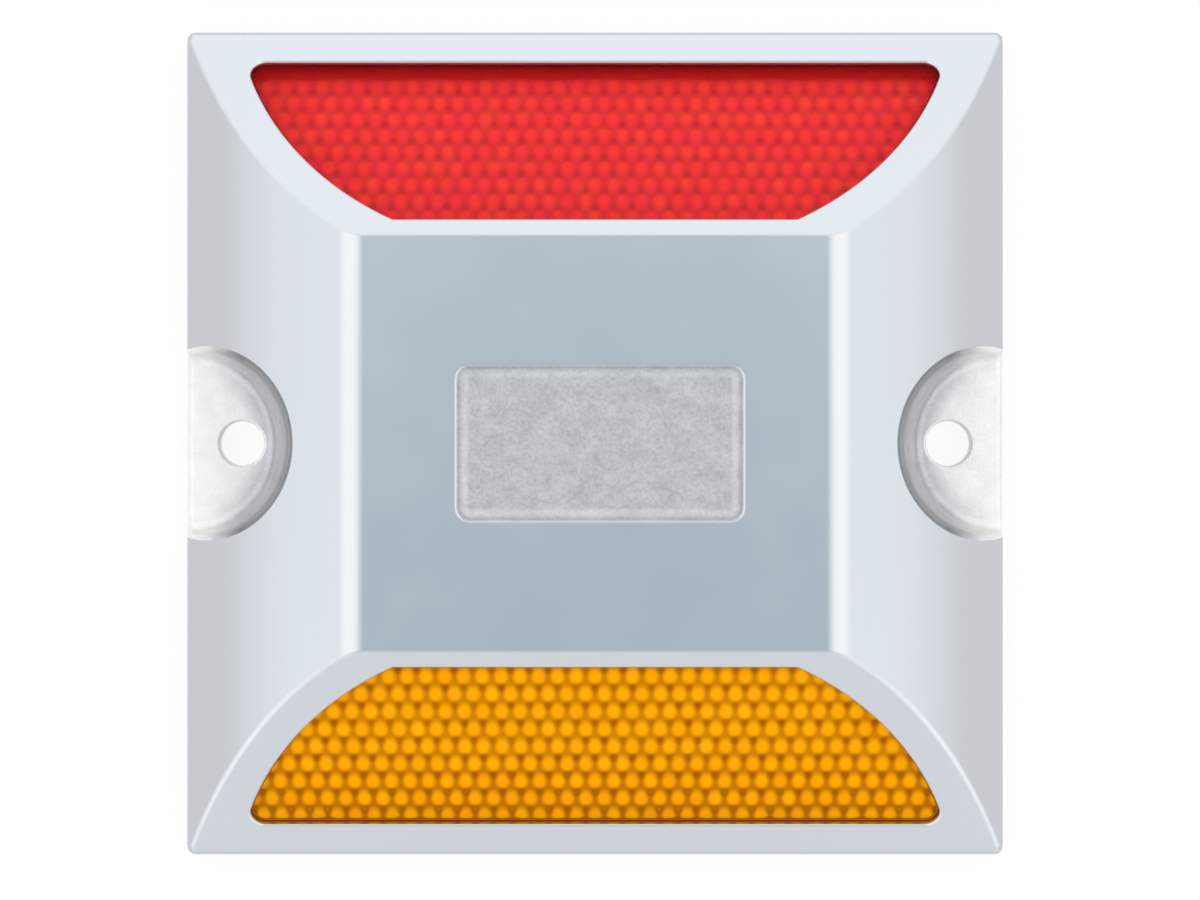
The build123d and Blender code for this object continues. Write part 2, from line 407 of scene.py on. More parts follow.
wall_steps, corner_steps = 12, 10
contact = lip[-1, :len(lip_turn)]
wall_azimuth = np.arctan2(lip_inward, lip_y)
travelled = np.append(0, np.cumsum(np.linalg.norm(np.diff(lip_centres, axis=0), axis=1)))
foot_azimuth = wall_azimuth[0] + travelled / travelled[-1] * (wall_azimuth[-1] - wall_azimuth[0])
way_down = np.linspace(0, 1, corner_steps + 1)[:, None]
corner_azimuth = wall_azimuth + way_down * (foot_azimuth - wall_azimuth)
corner, corner_normals = corner_patch((1 - way_down) * lip_turn, corner_azimuth)
fall = np.linspace(0, 1, wall_steps + 1)[:, None]
pocket_side = contact + fall[..., None] * (corner[0] - contact)
print(f"pocket wall {contact[0, 2] - pocket_floor:.1f} mm high at the inner end")

# %% [markdown]
# ## Finish and painted shade of a pocket
# Tumbling brightens the outside of the casting and hardly reaches into a pocket, so its floor stays
# pale and raw. Shade is painted into the pocket too: a dark line at the top of its wall, a grey wall
# below it and a darker band on the floor along the wall. Separate materials would draw a line wherever
# one shade runs into the next. So every corner of the skin carries a mark, which the aluminium's nodes
# read later: 0 is satin, about a quarter is painted dark shade, a half is grainy and 1 is matt and pale.
# In the pocket the mark is a smooth function of the way down the wall and the way round it.

# %% Finish and painted shade of a pocket
# PAINTED_SHADE marks the painted dark shade on a pocket's lip and at the top of its wall.
SATIN, PAINTED_SHADE, GRAINY, MATT = 0.0, 0.22, 0.5, 1.0
wall_runs_out, wall_full, foot_full = np.radians((8, 40, 60))


def smooth_step(low_end, high_end, value):
    """Runs from 0 to 1 between two ends, level at both: 3 t² - 2 t³."""
    t = np.clip((value - low_end) / (high_end - low_end), 0, 1)
    return t * t * (3 - 2 * t)


def steep(angle, full=wall_full):
    """0 beside the rim, where the pocket's wall runs out, and 1 from the full angle on."""
    return smooth_step(wall_runs_out, full, angle)


# Painted shade in the pocket: dark at the top of the wall, grey lower down and in the corner.
wall_middle_shade, wall_foot_shade, corner_foot_shade, floor_edge_shade = 0.57, 0.71, 0.58, 0.66
dark_share, middle_share, corner_share = 0.05, 0.4, 0.85
painted_dark_top = PAINTED_SHADE + (wall_middle_shade - PAINTED_SHADE) * smooth_step(dark_share, middle_share, fall)
wall_painted_shade = painted_dark_top + (wall_foot_shade - wall_middle_shade) * smooth_step(middle_share, 1, fall)
corner_painted_shade = np.interp(way_down, [0, corner_share, 1], [wall_foot_shade, corner_foot_shade, floor_edge_shade])
wall_steep = steep(wall_azimuth)
corner_steep = wall_steep + way_down * (steep(foot_azimuth, foot_full) - wall_steep)
pocket_lip_shade = MATT + (PAINTED_SHADE - MATT) * np.append(wall_steep, np.zeros(sill_steps))
casting.sheet(lip, lip_normals, pocket_lip_shade, QUARTERS)
casting.sheet(pocket_side, lip_inner, MATT + (wall_painted_shade - MATT) * wall_steep, QUARTERS)
casting.sheet(corner, corner_normals, MATT + (corner_painted_shade - MATT) * corner_steep, QUARTERS)
print(f"pocket marks from {pocket_lip_shade.min():.2f} to {pocket_lip_shade.max():.2f}")

# %% Floor and nail hole
def level_way(turn):
    """Level unit vectors, turned from +X towards +Y: (cos turn, sin turn, 0)."""
    return np.stack([np.cos(turn), np.sin(turn), np.zeros_like(turn)], axis=-1)


nail_edge_distance = 6.6
nail_radius = 2.75
nail_lip = 0.3
hole_steps, nail_lip_steps = 48, 5
hole_away = level_way(np.linspace(0, 2 * np.pi, hole_steps + 1))
hole_centre = np.array((half_width - nail_edge_distance, 0, pocket_floor - nail_lip))
hole_ball = hole_centre + (nail_radius + nail_lip) * hole_away
hole_lip, hole_normals = rolled_edge(
    hole_ball, repeated(UP, len(hole_away)), -hole_away, nail_lip, nail_lip_steps
)
bore = np.stack([hole_lip[-1], hole_lip[-1] * (1, 1, 0)])
casting.sheet(hole_lip, hole_normals, MATT, SIDES)
casting.sheet(bore, -hole_away, MATT, SIDES)
print(f"nail hole {2 * nail_radius} mm, {nail_edge_distance} mm in from the rim")

# %% Painted shade on the floor
foot_shade = 1.9
ring_gap = 0.3
ring_azimuth = np.radians(np.linspace(10, 170, 41))
floor_edge = mirrored_loop(np.concatenate([corner[-1], lip[-1, len(lip_turn):]]), 1)
pale_ring = pocket_place(np.full(len(ring_azimuth), bend_r - foot_shade), ring_azimuth, pocket_floor)
off_hole = np.hypot(*(pale_ring - hole_centre)[:, :2].T) > nail_radius + nail_lip + ring_gap
floor_points = np.concatenate([floor_edge, hole_lip[0, :-1], pale_ring[off_hole]])
inward, sideways = half_width - floor_points[:, 0], np.abs(floor_points[:, 1])
# Painted shade: the floor is darker along the wall, and less so where the wall runs out.
near_wall = smooth_step(bend_r - foot_shade, bend_r, np.hypot(inward, sideways))
floor_shade = near_wall * steep(np.arctan2(inward, sideways), foot_full)
floor_matt_and_shade = MATT + (floor_edge_shade - MATT) * floor_shade
casting.fill([floor_edge, hole_lip[0, :-1]], UP, floor_matt_and_shade, SIDES, [pale_ring[off_hole]])
print(f"pocket floor shaded over {foot_shade} mm along its wall, marks from {floor_matt_and_shade.min():.2f} up")

# %% [markdown]
# ## Flanks
# Each flank is the section carried along Y, out to where the ball of the sloping faces touches it.
# That is a function of two parameters, the angle of the section and a share of the way along Y.
# Above the pocket the share starts in the middle plane, and beside the pocket at the pocket's edge,
# so the flank needs no cutting and its rows end exactly where the rolled edge begins.

# %% Flank patches
flank_columns = 25


def slope_y(z, depth):
    """Y of the +Y sloping face at a height, sunk by a depth square to the face."""
    return plateau_half_length + ((height - z) * face_cos - depth) / face_sin


def flank(angles, start_y):
    """Part of a flank: the section at each angle, at shares of the way from start_y to the slope's edge."""
    points, normals = section(angles)
    end_y = slope_y(section(angles, edge_radius)[0][:, 1], edge_radius)
    share = np.linspace(0, 1, flank_columns)[:, None]
    grid = (flank_columns, *points.shape)
    places = in_space(np.broadcast_to(points, grid), start_y + share * (end_y - start_y))
    return places, in_space(np.broadcast_to(normals, grid), 0)


upper_flank, upper_normals = flank(angles_above, 0)
lower_flank, lower_normals = flank(angles_beside, lip_y[:len(angles_beside)])
casting.sheet(upper_flank, upper_normals, SATIN, QUARTERS)
casting.sheet(lower_flank, lower_normals, SATIN, QUARTERS)
print("flank rows:", len(angles_above), "above and", len(angles_beside), "beside the pocket")

# %% [markdown]
# ## Rounded border of the sloping faces
# The same ball rolls around each sloping face: along the plateau, down the shoulder and flank, round
# the corner of the rim and along the end wall. Where a face it touches is itself an edge of the same
# radius, the ball stands still and turns, and leaves a piece of a sphere, as the die has it.

# %% Path of the ball around a sloping face
def scaled_x(point, shares):
    """Copies of a point, with its first coordinate scaled by each share."""
    copies = repeated(point, len(shares))
    copies[:, 0] *= shares
    return copies


slope_normal = np.array((0, face_sin, face_cos))
top_steps, wall_edge_steps, turn_steps, end_steps, border_steps = 4, 3, 7, 8, 6
sunk_flank, turning = section(np.concatenate([angles_above, angles_beside[1:]]), edge_radius)
along_flank = in_space(sunk_flank, slope_y(sunk_flank[:, 1], edge_radius))
along_top = scaled_x(along_flank[0], np.linspace(0, 1, top_steps, endpoint=False))
end_ball_y = half_length - edge_radius
end_ball_z = height - ((end_ball_y - plateau_half_length) * face_sin + edge_radius) / face_cos
end_corner = np.array((rim_x, end_ball_y, end_ball_z))
along_rim = along_flank[-1] + steps_after(0, 1, wall_edge_steps)[:, None] * (end_corner - along_flank[-1])
along_end = scaled_x(end_corner, steps_after(1, 0, end_steps))
slope_path = np.concatenate([along_top, along_flank, along_rim, repeated(end_corner, turn_steps), along_end])
slope_outer = np.concatenate([
    repeated(UP, top_steps),
    in_space(turning, 0),
    repeated(OUT, wall_edge_steps),
    level_way(steps_after(0, np.pi / 2, turn_steps)),
    repeated(ENDWAYS, end_steps),
])
border, border_normals = rolled_edge(slope_path, slope_outer, slope_normal, edge_radius, border_steps)
casting.sheet(border, border_normals, SATIN, QUARTERS)
print("slope border:", border.shape[1], "points along a quarter of the stud")

# %% Upright walls below the border
past_rim = turn_steps + end_steps
wall_top = border[0, -(past_rim + 1):]
end_wall = np.stack([wall_top, wall_top * (1, 1, 0)])
casting.sheet(end_wall, slope_outer[-(past_rim + 1):], SATIN, QUARTERS)
rim_top = border[0, -(past_rim + wall_edge_steps):-past_rim]
rim_edge = lower_flank[:, -1]
rim_notch = lip[0, len(angles_beside) - 1:]
rim_chain = np.concatenate([end_wall[1, :1], rim_top[::-1], rim_edge[::-1], rim_notch])
casting.fill([mirrored_loop(rim_chain, 1)], OUT, SATIN, SIDES)
print(f"upright walls {end_ball_z:.2f} mm high at the ends")

# %% [markdown]
# ## Openings for the reflectors
# A reflector opening is a trapezium with bulging sides and round lower corners, drawn on the sloping
# face. Its outline is one more chain of tangent arcs, so it can be drawn in or out by any amount, and
# the lens, its frame and the mouth of the recess all come from it. The mouth is a short profile, a
# rounded lip and a straight wall, carried along that outline.

# %% Outline of an opening
opening_top = 2.3
opening_bottom = face_slope - 4.5
opening_top_margin = 8.2
opening_bottom_margin = 5.7
opening_bulge = 3.0
top_corner_radius = 0.5
bottom_corner_radius = 1.8


def face_half_width(down):
    """Half width of the sloping face, some way down it: where the flank's circle has that height."""
    z = height - down * face_sin
    return flank_centre[0] + np.sqrt(flank_radius**2 - (z - flank_centre[1])**2)


side_centre, side_radius = bulged_circle(
    (face_half_width(opening_top) - opening_top_margin, -opening_top),
    (face_half_width(opening_bottom) - opening_bottom_margin, -opening_bottom),
    opening_bulge,
)
top_corner_u = -opening_top - top_corner_radius
bottom_corner_u = -opening_bottom + bottom_corner_radius
top_corner_x = nested_centre(side_centre, side_radius, top_corner_radius, top_corner_u)
bottom_corner_x = nested_centre(side_centre, side_radius, bottom_corner_radius, bottom_corner_u)
opening, opening_ends = arc_chain(
    [(top_corner_x, top_corner_u), side_centre, (bottom_corner_x, bottom_corner_u)],
    [top_corner_radius, side_radius, bottom_corner_radius],
)
top_corner_steps, side_steps, bottom_corner_steps = 4, 96, 10
opening_angles = np.concatenate([
    np.linspace(0, opening_ends[0], top_corner_steps + 1),
    steps_after(opening_ends[0], opening_ends[1], side_steps),
    steps_after(opening_ends[1], np.pi, bottom_corner_steps),
])
opening_side, opening_out = opening(opening_angles)
opening_loop, opening_loop_out = mirrored_loop(opening_side, 0, opening_out)
opening_width, opening_height = 2 * opening_side[:, 0].max(), np.ptp(opening_side[:, 1])
print(f"opening {opening_width:.1f} mm wide, {opening_height:.1f} mm down the slope")

# %% Profile along an outline
def directed(flat, face):
    """Directions of a flat drawing on a face: x across + u uphill."""
    _, across, uphill, _ = face
    return flat[..., :1] * across + flat[..., 1:] * uphill


def placed(flat, depth, face):
    """Points of a flat drawing on a face: origin + x across + u uphill - depth outward."""
    origin, _, _, outward = face
    return origin + directed(flat, face) - np.asarray(depth)[..., None] * outward


def arc_rows(radius, lean, start):
    """Profile rows along an arc: inset = start + radius x sin lean, depth = radius x (1 - cos lean)."""
    return np.stack([start + radius * np.sin(lean), radius * (1 - np.cos(lean)), lean], axis=-1)


def carried_profile(loop, loop_out, profile, face):
    """A profile carried along a closed loop on a face, as a grid of points and normals.

    Each profile row (inset, depth, lean) moves the loop in and down, and its normal leans inward."""
    inset, depth, lean = np.array(profile).T[:, :, None]
    loop, loop_out = closed(loop), closed(loop_out)
    points = placed(loop - inset[..., None] * loop_out, depth, face)
    normals = np.cos(lean)[..., None] * face[3] - np.sin(lean)[..., None] * directed(loop_out, face)
    return points, np.broadcast_to(normals, points.shape)


slope_face = np.array([(0, plateau_half_length, height), OUT, (0, -face_cos, face_sin), slope_normal])
print("opening's lowest point:", placed(opening_side[-1], 0.0, slope_face).round(2), "mm")

# %% Mouth of a recess
mouth_lip = 0.35
recess_depth = 4.771
mouth_steps = 5
upright = np.pi / 2
mouth_swing = np.linspace(0, upright, mouth_steps + 1)
mouth_profile = [*arc_rows(mouth_lip, mouth_swing, -mouth_lip), (0, recess_depth, upright)]
mouth, mouth_normals = carried_profile(opening_loop, opening_loop_out, mouth_profile, slope_face)
casting.sheet(mouth, mouth_normals, SATIN, ENDS)
casting.fill([mouth[-1, :-1]], slope_normal, MATT, ENDS)
casting.fill([mirrored_loop(border[-1], 0), mouth[0, :-1]], slope_normal, SATIN, ENDS)
print(f"recess {recess_depth} mm deep with a lip of {mouth_lip} mm radius")

# %% [markdown]
# ## Plateau and centre recess
# The flat top carries a shallow recess with a bare floor, which keeps the grainy skin that the metal
# takes from the die. An inset and a bevel would give it hard steps. The same carried profile makes it
# soft: a rounded lip, a short leaning wall and a wide round at the floor, along a rectangle with round
# corners. The marks paint shade on the lip and the wall, which come out a little darker than the floor,
# and a painted highlight at the foot of the wall, which comes out a little paler.

# %% Centre recess
dish_half_width = 17.0
dish_half_length = 9.2
dish_corner = 1.6
dish_depth = 0.6
dish_lean = np.radians(35)
dish_lip = 1.0
dish_foot = 2.2
dish_x = 0.6
dish_corner_steps, dish_swing_steps = 8, 6
dish_face = np.array([(dish_x, 0, height), OUT, ENDWAYS, UP])
dish_arc, _ = arc_chain([(dish_half_width - dish_corner, dish_half_length - dish_corner)], [dish_corner])
dish_side, dish_out = dish_arc(np.linspace(0, np.pi / 2, dish_corner_steps + 1))
dish_half, dish_half_out = mirrored_loop(dish_side, 1, dish_out)
dish_loop, dish_loop_out = mirrored_loop(dish_half, 0, dish_half_out)
dish_lip_start = -dish_lip * np.tan(dish_lean / 2)
dish_foot_end = dish_depth / np.tan(dish_lean) + dish_foot * np.tan(dish_lean / 2)
dish_swing = np.linspace(0, dish_lean, dish_swing_steps + 1)
dish_profile = np.concatenate([
    arc_rows(dish_lip, dish_swing, dish_lip_start),
    arc_rows(-dish_foot, dish_swing[::-1], dish_foot_end) + (0, dish_depth, 0),
])
dish, dish_normals = carried_profile(dish_loop, dish_loop_out, dish_profile, dish_face)
print(f"centre recess {2 * dish_half_width} x {2 * dish_half_length} mm, {dish_depth} mm deep")

# %% Finish of the plateau, with painted shade and a painted highlight in its recess
# Painted shade darkens the recess's lip a little and its upper wall more; a painted highlight pales its
# foot.
dish_shade = 0.09
dish_lip_shade = 0.05
satin_steps = 3
dish_lip_shade_fade = np.linspace(SATIN, dish_lip_shade, satin_steps + 1)[:, None]
dish_fall = np.linspace(0, 1, len(dish) - satin_steps)[:, None]
dish_grain_and_shade = GRAINY - dish_shade * np.sin(2 * np.pi * dish_fall)
casting.sheet(dish[:satin_steps + 1], dish_normals[:satin_steps + 1], dish_lip_shade_fade)
casting.sheet(dish[satin_steps:], dish_normals[satin_steps:], dish_grain_and_shade)
casting.fill([dish[-1, :-1]], UP, GRAINY)
plateau_chain = np.concatenate([border[0, :top_steps], upper_flank[::-1, 0]])
plateau_edge = mirrored_loop(mirrored_loop(plateau_chain, 1), 0)
casting.fill([plateau_edge, dish[0, :-1]], UP, SATIN)
print(f"centre recess marked {dish_grain_and_shade.min():.2f} on its wall and {dish_grain_and_shade.max():.2f} at its foot")

# %% [markdown]
# ## Ribbed underside
# A solid block of aluminium would shrink unevenly as it cools, so the underside is a grid of hollows
# with ribs between them. Each hollow is as deep as the skin above it allows, and there is none under
# the nail pockets. The rule is worked out for the whole grid of hollows at once.

# %% Hollows between the ribs
skin_thickness = 2.6
rim_wall_thickness = 3.2
rib_width = 2.2
rib_draft = np.radians(1.5)
widest_hollow = 9.0
shallowest_hollow = 1.5
span = np.array((width, length)) - 2 * rim_wall_thickness + rib_width
counts = np.ceil(span / (widest_hollow + rib_width)).astype(int)
hollow_size = span / counts - rib_width
rows = [(np.arange(n) - (n - 1) / 2) * (size + rib_width) for n, size in zip(counts, hollow_size)]
centre_x, centre_y = (part.ravel() for part in np.meshgrid(*rows))
outer_x = np.abs(centre_x) + hollow_size[0] / 2
outer_y = np.abs(centre_y) + hollow_size[1] / 2
inner_y = np.maximum(np.abs(centre_y) - hollow_size[1] / 2, 0)
under_plateau = height - dish_depth - skin_thickness
face_fall = (outer_y - plateau_half_length) * face_sin
under_face = height - (recess_depth + skin_thickness + face_fall) / face_cos
flank_reach = np.maximum((flank_radius - skin_thickness)**2 - (outer_x - flank_centre[0])**2, 0)
under_flank = flank_centre[1] + np.sqrt(flank_reach)
roof = np.minimum(np.minimum(under_plateau, under_face), under_flank)
pocket_top = pocket_radius + (height - pocket_floor) * np.tan(pocket_draft)
off_pocket = np.hypot(half_width - outer_x, inner_y) - pocket_top > skin_thickness
hollow = (roof > shallowest_hollow) & off_pocket
hollow_centres = np.stack([centre_x, centre_y], axis=-1)[hollow]
hollow_depth = roof[hollow]
print(len(hollow_depth), "hollows, up to", hollow_depth.max().round(2), "mm deep")

# %% Underside
def raised(flat, z):
    """Flat outlines, each set at its own height."""
    return np.concatenate([flat, np.broadcast_to(z, (*flat.shape[:2], 1))], axis=-1)


corner_ways = closed(SQUARE)
narrowing = (hollow_depth * np.tan(rib_draft))[:, None, None]
hollow_mouths = raised(hollow_centres[:, None] + corner_ways * hollow_size / 2, 0)
roof_outlines = hollow_centres[:, None] + corner_ways * (hollow_size / 2 - narrowing)
hollow_roofs = raised(roof_outlines, hollow_depth[:, None, None])
side_corners = [hollow_mouths[:, :-1], hollow_mouths[:, 1:], hollow_roofs[:, 1:], hollow_roofs[:, :-1]]
side_normals = np.tile([(0.0, -1, 0), (1, 0, 0), (0, 1, 0), (-1, 0, 0)], (len(hollow_depth), 1))
casting.quads(np.stack(side_corners, axis=2).reshape(-1, 4, 3), side_normals, MATT)
casting.quads(hollow_roofs[:, :4], repeated(DOWN, len(hollow_depth)), MATT)
base_edge = mirrored_loop(mirrored_loop(end_wall[1, ::-1], 1), 0)
bore_ends = [bore[1, :-1], bore[1, :-1] * (-1, 1, 1)]
casting.fill([base_edge, *bore_ends, *hollow_mouths[:, :4]], DOWN, MATT)
stud_casting = sewn(casting, "stud_casting", "finish")
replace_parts(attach(stud_casting, "root"), "cast_body")

# %% [markdown]
# ## Reflector pins
# Behind the face of each lens stands a field of hexagonal pins in staggered rows. Light that enters a
# pin turns three corners and leaves the way it came, so from above each pin shows as a bright dot and
# the seams between pins stay dark. Real refraction through hundreds of cube corners renders slowly
# and noisily, and no game engine repeats it. So the pins are modelled as the eye sees them: a domed
# field in solid colour, whose depth is a function of the two distances on the face, in a tray with
# walls up to the lens face. Only the points that shape a pin are used, so each has about 34 triangles.

# %% Field of pins
pin_dome = 0.3
pin_flat = 0.5
pin_groove = 1.05
lattice_stretch = np.array((np.sqrt(3), 3))
lenses = {
    "red": {"sign": (1, 1), "top": 3.1, "first_row": 4.55, "row_pitch": 2.43, "pitch": 2.22},
    "amber": {"sign": (1, -1), "top": 1.05, "first_row": 4.2, "row_pitch": 2.57, "pitch": 2.24},
}


def pin_share(flat, lens):
    """Distance from the nearest pin, as a share of the way to the corners between pins.

    Counted in pitches and in pairs of rows, the staggered rows are two square lattices, half a step
    apart both ways. The offset from the nearest point of each, stretched back by (√3, 3), is a
    distance in corners, and the shorter of the two counts."""
    x, u = np.moveaxis(flat, -1, 0)
    steps = np.stack([x / lens["pitch"], (-u - lens["first_row"]) / (2 * lens["row_pitch"])], axis=-1)
    offsets = [steps + half_step - np.round(steps + half_step) for half_step in (0.0, 0.5)]
    return np.minimum(*(np.linalg.norm(offset * lattice_stretch, axis=-1) for offset in offsets))


def pin_depth(flat, lens):
    """Depth of the pin field below the face: flat-topped pins with rounded grooves around them."""
    return lens["top"] + pin_dome * smooth_step(pin_flat, pin_groove, pin_share(flat, lens))


for colour, lens in lenses.items():
    print(colour, "pins lie", lens["top"], "mm below the face, in rows", lens["row_pitch"], "mm apart")

# %% Points that shape the pins
pin_columns, pin_rows = np.arange(-24, 25), np.arange(-4, 12)
pin_margin = 0.15


def pin_points(lens, outline):
    """Points that shape the pins within an outline, a few for each pin.

    Around every pin: a ring at the edge of its flat top, the middles of three seams and two corners.
    The other seams and corners belong to its neighbours."""
    turn = np.radians(np.arange(0, 360, 30))
    around = np.stack([np.sin(turn), np.cos(turn)], axis=-1)
    ring, seams, corners = pin_flat * around, np.sqrt(3) / 2 * around[[1, 3, 5]], around[[0, 6]]
    one_pin = np.concatenate([ring, seams, corners]) / lattice_stretch
    column, row = np.meshgrid(pin_columns, pin_rows)
    steps = np.stack([column + row % 2 / 2, row / 2], axis=-1).reshape(-1, 1, 2) + one_pin
    x, down = np.moveaxis(steps.reshape(-1, 2) * (lens["pitch"], 2 * lens["row_pitch"]), -1, 0)
    flat = np.stack([x, -down - lens["first_row"]], axis=-1)
    side_x, side_u = outline[::-1].T
    within = np.abs(flat[:, 0]) < np.interp(flat[:, 1], side_u, side_x) - pin_margin
    return flat[within & (flat[:, 1] > side_u[0] + pin_margin) & (flat[:, 1] < side_u[-1] - pin_margin)]


for colour, lens in lenses.items():
    print(len(pin_points(lens, opening_side)), "points shape the", colour, "pins of a whole opening")

# %% Outline of a tray
fit_clearance = 0.05
tray_wall = 0.2
edge_steps = 32
edge_shares = np.linspace(0, 1, edge_steps, endpoint=False)
tray_side, tray_out = opening(opening_angles, fit_clearance + tray_wall)
tray_chain = [scaled_x(tray_side[0], edge_shares), tray_side, scaled_x(tray_side[-1], edge_shares[::-1])]
tray_chain_out = [repeated(tray_out[0], edge_steps), tray_out, repeated(tray_out[-1], edge_steps)]
tray_loop, tray_loop_out = mirrored_loop(np.concatenate(tray_chain), 0, np.concatenate(tray_chain_out))
fit_loop = opening_loop - fit_clearance * opening_loop_out
print("tray outline:", len(tray_loop), "points")

# %% Tray of pins for one lens
tray_rim = 0.9
tray_base = 3.65
tray_rows = 5
# Painted light level of a tray: 1 on the pin field, and painted shade on the inner walls, darker towards
# their rim.
field_glow, wall_glow = 1.0, 0.2


def pin_tray(name, lens):
    """Closed tray: the pin field as its floor, inner walls, a rim, outer walls and a flat base.

    The normal of the field leans against its slope, which is measured a small step to either side."""
    skin = Skin()
    signs = (lens["sign"],)
    step = 0.02
    flat = np.concatenate([tray_loop, pin_points(lens, tray_side)])
    leans = [pin_depth(flat + way, lens) - pin_depth(flat - way, lens) for way in ((step, 0), (0, step))]
    normals = slope_normal + np.stack(leans, axis=-1) / (2 * step) @ slope_face[1:3]
    normals = normals / np.linalg.norm(normals, axis=-1, keepdims=True)
    field = placed(flat, pin_depth(flat, lens), slope_face)
    skin.patch(field, normals, field_glow, triangles_inside(flat, [len(tray_loop)]), signs)
    loop, loop_out = closed(tray_loop), closed(tray_loop_out)
    foot = pin_depth(loop, lens)
    rise = np.linspace(0, 1, tray_rows)[:, None]
    wall = np.broadcast_to(loop, (tray_rows, *loop.shape))
    inner = placed(wall, foot + rise * (tray_rim - foot), slope_face)
    skin.sheet(inner, -directed(loop_out, slope_face), wall_glow * (1 - rise), signs)
    outer_profile = [(0, tray_rim, upright), (0, tray_base, upright)]
    outer, outer_normals = carried_profile(fit_loop, -opening_loop_out, outer_profile, slope_face)
    skin.sheet(outer, outer_normals, signs=signs)
    skin.fill([outer[0, :-1], inner[-1, :-1]], slope_normal, signs=signs)
    skin.fill([outer[1, :-1]], -slope_normal, signs=signs)
    return sewn(skin, name, "glow")


for colour, lens in lenses.items():
    lens["pins"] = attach(pin_tray(colour + "_lens_pins", lens), "root")
    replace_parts(lens["pins"], colour + "_lens")

# %% [markdown]
# ## Lens faces
# In front of the pins the lens is one smooth face of clear acrylic, a little below the metal so that
# tyres do not scrape it. A thin closed slab does this: its edge profile, a small round and a short
# wall, is carried along the outline, and its two flat faces are filled.

# %% Slab of one lens face
lens_setback = 0.6
face_thickness = 0.22
face_round = 0.12
face_round_steps = 3


def lens_face(name, sign):
    """Closed slab on the outline of the opening, with a rounded front edge."""
    skin = Skin()
    swing = np.linspace(0, upright, face_round_steps + 1)
    rounded = arc_rows(face_round, -swing, face_round) + (0, lens_setback, 0)
    profile = [*rounded, (0, lens_setback + face_thickness, -upright)]
    edge, edge_normals = carried_profile(fit_loop, opening_loop_out, profile, slope_face)
    skin.sheet(edge, edge_normals, signs=(sign,))
    skin.fill([edge[0, :-1]], slope_normal, signs=(sign,))
    skin.fill([edge[-1, :-1]], -slope_normal, signs=(sign,))
    return sewn(skin, name)


for colour, lens in lenses.items():
    face_slab = lens_face(colour + "_lens_face", lens["sign"])
    lens["face"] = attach(face_slab, "root")

# %% [markdown]
# ## Shorthand for nodes
# Each finish below is a tree of nodes: marks, noise and ramps that end in a shader. It could be clicked
# together by hand, but then nothing here would show how it works. Written out in code, every link
# takes several lines. So these helpers add one node each and hand on what flows out of it.

# %% Nodes that work out numbers and colours
class Nodes:
    """Shorthand for a node tree: its methods add a node and give back what flows out of it."""

    def __init__(self, tree):
        self.tree = tree

    def feed(self, node, inputs):
        """Links a node's inputs to what flows out of others, or sets their numbers."""
        for socket, value in dict(inputs).items():
            if isinstance(value, bpy.types.NodeSocket):
                self.tree.links.new(value, node.inputs[socket])
            else:
                node.inputs[socket].default_value = value

    def add(self, kind, inputs=(), **settings):
        """Adds a node of any kind and gives back its outputs."""
        node = self.tree.nodes.new("ShaderNode" + kind)
        for setting, value in settings.items():
            setattr(node, setting, value)
        self.feed(node, inputs)
        return node.outputs

    def math(self, operation, *values):
        """A number worked out from numbers."""
        return self.add("Math", enumerate(values), operation=operation)[0]

    def vector(self, operation, *values):
        """A vector worked out from vectors."""
        return self.add("VectorMath", enumerate(values), operation=operation)["Vector"]

    def measure(self, operation, *values):
        """A number worked out from vectors."""
        return self.add("VectorMath", enumerate(values), operation=operation)["Value"]

    def remap(self, value, start, end, low=0.0, high=1.0, curve="LINEAR"):
        """A number taken from one range to another and held at its ends."""
        ends = {"From Min": start, "From Max": end, "To Min": low, "To Max": high}
        return self.add("MapRange", {"Value": value, **ends}, interpolation_type=curve)[0]

    def mix(self, share, first, second):
        """A number between two others."""
        return self.add("Mix", {"Factor": share, "A": first, "B": second})["Result"]

    def ramp(self, factor, stops):
        """A colour read from stops along a ramp."""
        colours = self.add("ValToRGB", {0: factor})["Color"]
        elements = colours.node.color_ramp.elements
        for position, _ in stops[2:]:
            elements.new(position)
        for element, (position, colour) in zip(elements, stops):
            element.position = position
            element.color = (*colour, 1)
        return colours


print("nodes can", ", ".join(name for name in vars(Nodes) if not name.startswith("_")))

# %% Nodes of a finish
class Finish(Nodes):
    """Shorthand for the node tree of a material, with what a finish is made of."""

    def grain(self, scale, detail):
        """Noise in the object's own metres, so that its grains keep their real size."""
        place = self.add("TexCoord")["Object"]
        return self.add("TexNoise", {"Vector": place, "Scale": scale, "Detail": detail})["Fac"]

    def mark(self, name):
        """The mark that the skin carries under a name."""
        return self.add("Attribute", attribute_name=name)["Fac"]

    def bump(self, hills, strength, depth):
        """A normal that follows fine hills, up to a depth in metres."""
        return self.add("Bump", {"Height": hills, "Strength": strength, "Distance": depth})["Normal"]

    def blend(self, share, first, second):
        """A shader between two others."""
        return self.add("MixShader", enumerate((share, first, second)))[0]

    def shade(self, inputs):
        """Feeds the shader that a new material starts with."""
        self.feed(self.tree.nodes["Principled BSDF"], inputs)

    def show(self, shader):
        """Shows another shader in place of the one that a new material starts with."""
        self.feed(self.tree.nodes["Material Output"], {"Surface": shader})
        self.tree.nodes.remove(self.tree.nodes["Principled BSDF"])


def new_material(name):
    """Node material and the shorthand for its tree."""
    material = bpy.data.materials.new(name)
    material.use_nodes = True
    return material, Finish(material.node_tree)


def dress(piece, material):
    """Gives a piece one material in place of what it had."""
    piece.data.materials.clear()
    piece.data.materials.append(material)


print("a finish adds", ", ".join(name for name in vars(Finish) if not name.startswith("_")))

